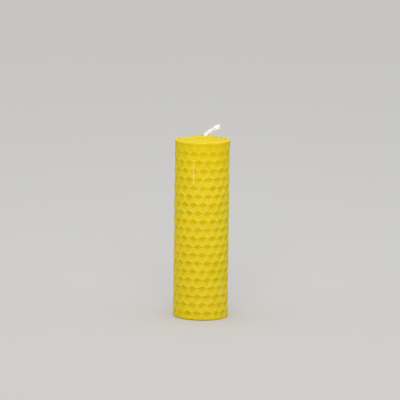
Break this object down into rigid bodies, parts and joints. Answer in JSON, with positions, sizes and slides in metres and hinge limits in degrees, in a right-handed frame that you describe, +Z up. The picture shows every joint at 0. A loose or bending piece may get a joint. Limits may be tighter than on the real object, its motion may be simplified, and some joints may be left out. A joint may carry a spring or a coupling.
{
  "type": "rolled honeycomb candle",
  "caption": "Candle rolled from one strip of honeycomb-embossed beeswax sheet round a braided cotton wick, which leans out of its low, peaked top.",
  "frame": {"origin": "centre of the round foot, on the surface that the candle stands on", "axes": "+Z up along the roll's axis, -Y towards the viewer of the picture, +X the way the wick leans"},
  "size_m": [0.0306, 0.0309, 0.1078],
  "materials": {
    "beeswax": "yellow beeswax with a soft satin sheen",
    "wick_cotton": "white braided cotton, unburnt"
  },
  "bodies": {
    "root": {"honeycomb_sheet": "beeswax", "wick": "wick_cotton"}
  },
  "joints": []
}
